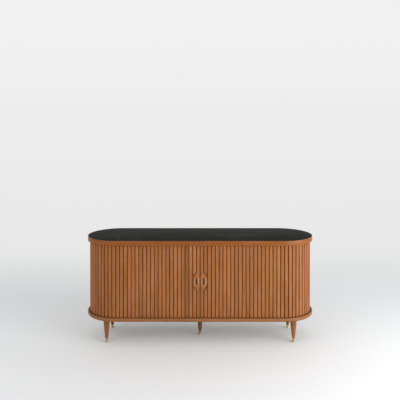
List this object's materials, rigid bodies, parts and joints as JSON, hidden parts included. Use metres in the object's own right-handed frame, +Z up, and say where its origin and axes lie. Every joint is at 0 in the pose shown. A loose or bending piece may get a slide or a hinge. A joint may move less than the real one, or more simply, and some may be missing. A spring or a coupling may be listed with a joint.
{
  "type": "tambour door cabinet",
  "caption": "Round-ended sideboard cabinet with two slatted tambour doors that slide round the ends, an inset stone top, and turned legs on metal feet.",
  "frame": {"origin": "on the floor under the middle of the cabinet", "axes": "+X along the length, to the right seen from the front; +Y towards the back; +Z up"},
  "size_m": [1.8, 0.508, 0.814],
  "materials": {
    "slat_wood": "satin oiled hardwood, each slat with its own tone",
    "band_wood": "satin oiled hardwood",
    "leg_wood": "satin oiled hardwood, turned",
    "inner_wood": "matt veneered board",
    "stone": "honed black marble",
    "brass": "satin antique brass",
    "steel": "zinc plated"
  },
  "bodies": {
    "carcass": {"stone_top": "stone", "top_band": "band_wood", "top_panel": "inner_wood", "base_band": "band_wood", "base_panel": "inner_wood", "back_shell": "inner_wood", "inner_back_panel": "inner_wood", "left_end_liner": "inner_wood", "right_end_liner": "inner_wood", "centre_divider": "inner_wood", "left_shelf": "inner_wood", "right_shelf": "inner_wood", "left_divider_cleat": "inner_wood", "right_divider_cleat": "inner_wood", "left_end_cleat": "inner_wood", "right_end_cleat": "inner_wood", "left_door_stop": "inner_wood", "right_door_stop": "inner_wood", "front_left_leg": "leg_wood", "front_left_foot": "brass", "front_left_leg_bolt": "steel", "front_right_leg": "leg_wood", "front_right_foot": "brass", "front_right_leg_bolt": "steel", "rear_left_leg": "leg_wood", "rear_left_foot": "brass", "rear_left_leg_bolt": "steel", "rear_right_leg": "leg_wood", "rear_right_foot": "brass", "rear_right_leg_bolt": "steel", "centre_leg": "leg_wood", "centre_foot": "brass", "centre_leg_bolt": "steel"},
    "left_door_front": {"left_door_front_panel": "slat_wood", "left_handle_plate": "band_wood", "left_handle_ring": "brass"},
    "left_door_bend_1": {"left_door_bend_slat_1": "slat_wood"},
    "left_door_bend_2": {"left_door_bend_slat_2": "slat_wood"},
    "left_door_bend_3": {"left_door_bend_slat_3": "slat_wood"},
    "left_door_bend_4": {"left_door_bend_slat_4": "slat_wood"},
    "left_door_bend_5": {"left_door_bend_slat_5": "slat_wood"},
    "left_door_bend_6": {"left_door_bend_slat_6": "slat_wood"},
    "left_door_bend_7": {"left_door_bend_slat_7": "slat_wood"},
    "left_door_end": {"left_door_end_panel": "slat_wood"},
    "right_door_front": {"right_door_front_panel": "slat_wood", "right_handle_plate": "band_wood", "right_handle_ring": "brass"},
    "right_door_bend_1": {"right_door_bend_slat_1": "slat_wood"},
    "right_door_bend_2": {"right_door_bend_slat_2": "slat_wood"},
    "right_door_bend_3": {"right_door_bend_slat_3": "slat_wood"},
    "right_door_bend_4": {"right_door_bend_slat_4": "slat_wood"},
    "right_door_bend_5": {"right_door_bend_slat_5": "slat_wood"},
    "right_door_bend_6": {"right_door_bend_slat_6": "slat_wood"},
    "right_door_bend_7": {"right_door_bend_slat_7": "slat_wood"},
    "right_door_end": {"right_door_end_panel": "slat_wood"}
  },
  "joints": [
    {"name": "left_door_slide", "type": "slide", "parent": "carcass", "child": "left_door_front", "axis": [-1, 0, 0], "range_m": [0, 0.20612]},
    {"name": "left_door_bend_turn_1", "type": "hinge", "parent": "carcass", "child": "left_door_bend_1", "pos_m": [-0.5503, 2.91095, 0.5], "axis": [0, 0, -1], "range_deg": [0, 3.77]},
    {"name": "left_door_bend_turn_2", "type": "hinge", "parent": "carcass", "child": "left_door_bend_2", "pos_m": [-0.56502, 0.81867, 0.5], "axis": [0, 0, -1], "range_deg": [0, 11.3]},
    {"name": "left_door_bend_turn_3", "type": "hinge", "parent": "carcass", "child": "left_door_bend_3", "pos_m": [-0.57975, 0.39957, 0.5], "axis": [0, 0, -1], "range_deg": [0, 18.83]},
    {"name": "left_door_bend_turn_4", "type": "hinge", "parent": "carcass", "child": "left_door_bend_4", "pos_m": [-0.59447, 0.22004, 0.5], "axis": [0, 0, -1], "range_deg": [0, 26.36]},
    {"name": "left_door_bend_turn_5", "type": "hinge", "parent": "carcass", "child": "left_door_bend_5", "pos_m": [-0.60919, 0.12079, 0.5], "axis": [0, 0, -1], "range_deg": [0, 33.89]},
    {"name": "left_door_bend_turn_6", "type": "hinge", "parent": "carcass", "child": "left_door_bend_6", "pos_m": [-0.62392, 0.05841, 0.5], "axis": [0, 0, -1], "range_deg": [0, 41.43]},
    {"name": "left_door_bend_turn_7", "type": "hinge", "parent": "carcass", "child": "left_door_bend_7", "pos_m": [-0.63864, 0.01617, 0.5], "axis": [0, 0, -1], "range_deg": [0, 48.96]},
    {"name": "left_door_end_turn", "type": "hinge", "parent": "carcass", "child": "left_door_end", "pos_m": [-0.646, 0, 0.5], "axis": [0, 0, -1], "range_deg": [0, 52.72]},
    {"name": "right_door_slide", "type": "slide", "parent": "carcass", "child": "right_door_front", "axis": [1, 0, 0], "range_m": [0, 0.20612]},
    {"name": "right_door_bend_turn_1", "type": "hinge", "parent": "carcass", "child": "right_door_bend_1", "pos_m": [0.5503, 2.91095, 0.5], "axis": [0, 0, 1], "range_deg": [0, 3.77]},
    {"name": "right_door_bend_turn_2", "type": "hinge", "parent": "carcass", "child": "right_door_bend_2", "pos_m": [0.56502, 0.81867, 0.5], "axis": [0, 0, 1], "range_deg": [0, 11.3]},
    {"name": "right_door_bend_turn_3", "type": "hinge", "parent": "carcass", "child": "right_door_bend_3", "pos_m": [0.57975, 0.39957, 0.5], "axis": [0, 0, 1], "range_deg": [0, 18.83]},
    {"name": "right_door_bend_turn_4", "type": "hinge", "parent": "carcass", "child": "right_door_bend_4", "pos_m": [0.59447, 0.22004, 0.5], "axis": [0, 0, 1], "range_deg": [0, 26.36]},
    {"name": "right_door_bend_turn_5", "type": "hinge", "parent": "carcass", "child": "right_door_bend_5", "pos_m": [0.60919, 0.12079, 0.5], "axis": [0, 0, 1], "range_deg": [0, 33.89]},
    {"name": "right_door_bend_turn_6", "type": "hinge", "parent": "carcass", "child": "right_door_bend_6", "pos_m": [0.62392, 0.05841, 0.5], "axis": [0, 0, 1], "range_deg": [0, 41.43]},
    {"name": "right_door_bend_turn_7", "type": "hinge", "parent": "carcass", "child": "right_door_bend_7", "pos_m": [0.63864, 0.01617, 0.5], "axis": [0, 0, 1], "range_deg": [0, 48.96]},
    {"name": "right_door_end_turn", "type": "hinge", "parent": "carcass", "child": "right_door_end", "pos_m": [0.646, 0, 0.5], "axis": [0, 0, 1], "range_deg": [0, 52.72]}
  ],
  "couplings": [
    {"joint": "left_door_bend_turn_1", "follows": "left_door_slide", "rad_per_m": 0.31888},
    {"joint": "left_door_bend_turn_2", "follows": "left_door_slide", "rad_per_m": 0.95663},
    {"joint": "left_door_bend_turn_3", "follows": "left_door_slide", "rad_per_m": 1.5944},
    {"joint": "left_door_bend_turn_4", "follows": "left_door_slide", "rad_per_m": 2.2321},
    {"joint": "left_door_bend_turn_5", "follows": "left_door_slide", "rad_per_m": 2.8699},
    {"joint": "left_door_bend_turn_6", "follows": "left_door_slide", "rad_per_m": 3.5077},
    {"joint": "left_door_bend_turn_7", "follows": "left_door_slide", "rad_per_m": 4.1454},
    {"joint": "left_door_end_turn", "follows": "left_door_slide", "rad_per_m": 4.4643},
    {"joint": "right_door_bend_turn_1", "follows": "right_door_slide", "rad_per_m": 0.31888},
    {"joint": "right_door_bend_turn_2", "follows": "right_door_slide", "rad_per_m": 0.95663},
    {"joint": "right_door_bend_turn_3", "follows": "right_door_slide", "rad_per_m": 1.5944},
    {"joint": "right_door_bend_turn_4", "follows": "right_door_slide", "rad_per_m": 2.2321},
    {"joint": "right_door_bend_turn_5", "follows": "right_door_slide", "rad_per_m": 2.8699},
    {"joint": "right_door_bend_turn_6", "follows": "right_door_slide", "rad_per_m": 3.5077},
    {"joint": "right_door_bend_turn_7", "follows": "right_door_slide", "rad_per_m": 4.1454},
    {"joint": "right_door_end_turn", "follows": "right_door_slide", "rad_per_m": 4.4643}
  ]
}
